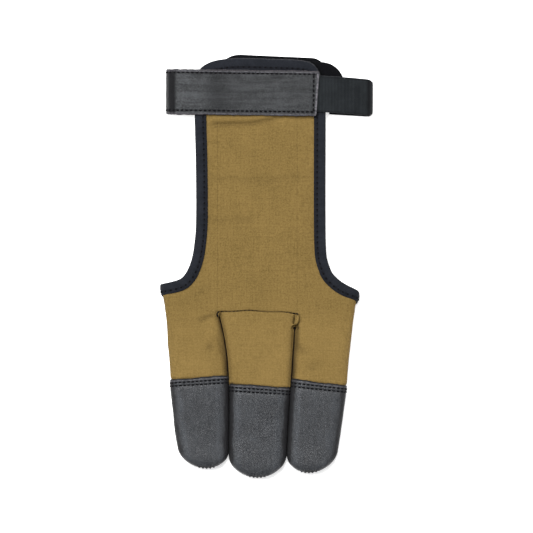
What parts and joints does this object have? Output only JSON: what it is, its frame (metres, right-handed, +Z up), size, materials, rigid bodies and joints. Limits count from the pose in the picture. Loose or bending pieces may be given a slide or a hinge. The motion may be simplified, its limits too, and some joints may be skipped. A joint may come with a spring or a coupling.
{
  "type": "archery glove",
  "caption": "Three-finger archery shooting glove: fabric back panel with finger sleeves, leather fingertips, taped edge and a leather and elastic wrist strap.",
  "frame": {"origin": "middle of the footprint, on the surface that the glove lies on, palm side down", "axes": "+Y from the fingertips to the wrist, +Z up out of the back of the hand, +X from the index finger to the ring finger"},
  "size_m": [0.1104, 0.2198, 0.0163],
  "materials": {
    "fabric": "fine olive-brown stretch knit, matt",
    "leather": "dark grey grained leather, satin",
    "binding_tape": "blue-black woven edge tape, matt",
    "strap_leather": "dark grey finely grained leather with raw cut edges, satin",
    "elastic": "dark ribbed woven elastic, matt",
    "hook_and_loop": "black hook-and-loop tape, matt"
  },
  "bodies": {
    "root": {"back_panel": "fabric", "middle_sleeve": "fabric", "index_tip": "leather", "middle_tip": "leather", "ring_tip": "leather", "edge_binding": "binding_tape", "wrist_strap": "strap_leather", "elastic_band": "elastic", "hook_tab": "hook_and_loop", "loop_tab": "hook_and_loop"}
  },
  "joints": []
}
